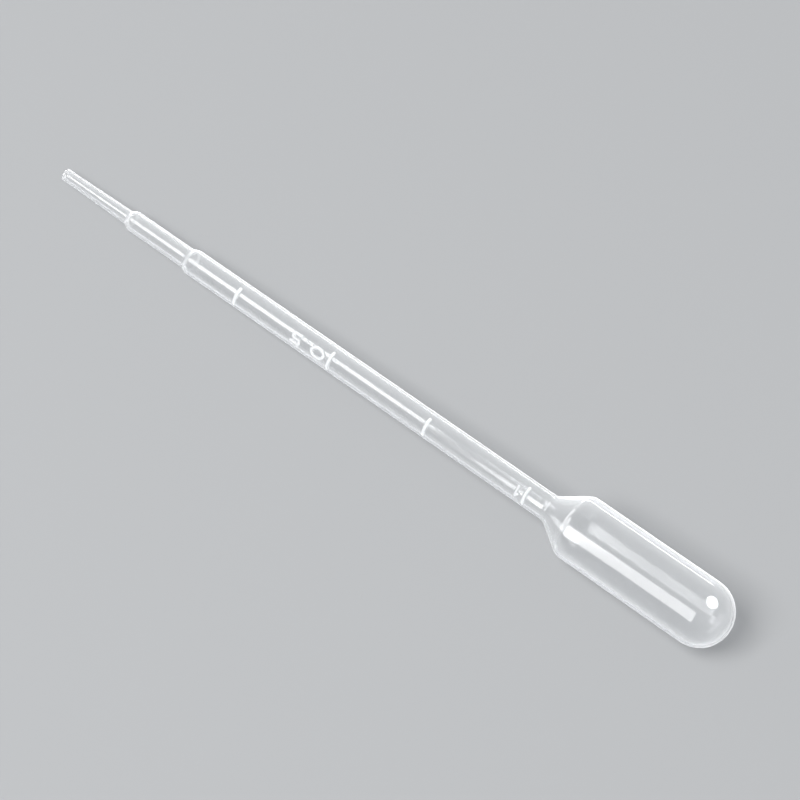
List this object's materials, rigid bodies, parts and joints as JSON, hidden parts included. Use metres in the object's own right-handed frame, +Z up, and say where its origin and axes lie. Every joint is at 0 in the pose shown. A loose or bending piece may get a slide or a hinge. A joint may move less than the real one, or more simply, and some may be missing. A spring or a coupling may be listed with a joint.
{
  "type": "dropper pipette",
  "caption": "One-piece graduated dropper pipette: a squeeze bulb with a round end, a long thin stem with raised volume marks, and a tip that narrows in two steps.",
  "frame": {"origin": "under the middle of its length, on the surface it lies on", "axes": "+X along the pipette towards the bulb, +Y across it, +Z up"},
  "size_m": [0.1456, 0.0114, 0.0123],
  "materials": {
    "polyethylene": "translucent natural low-density polyethylene, smooth and slightly waxy"
  },
  "bodies": {
    "root": {"pipette": "polyethylene"}
  },
  "joints": []
}
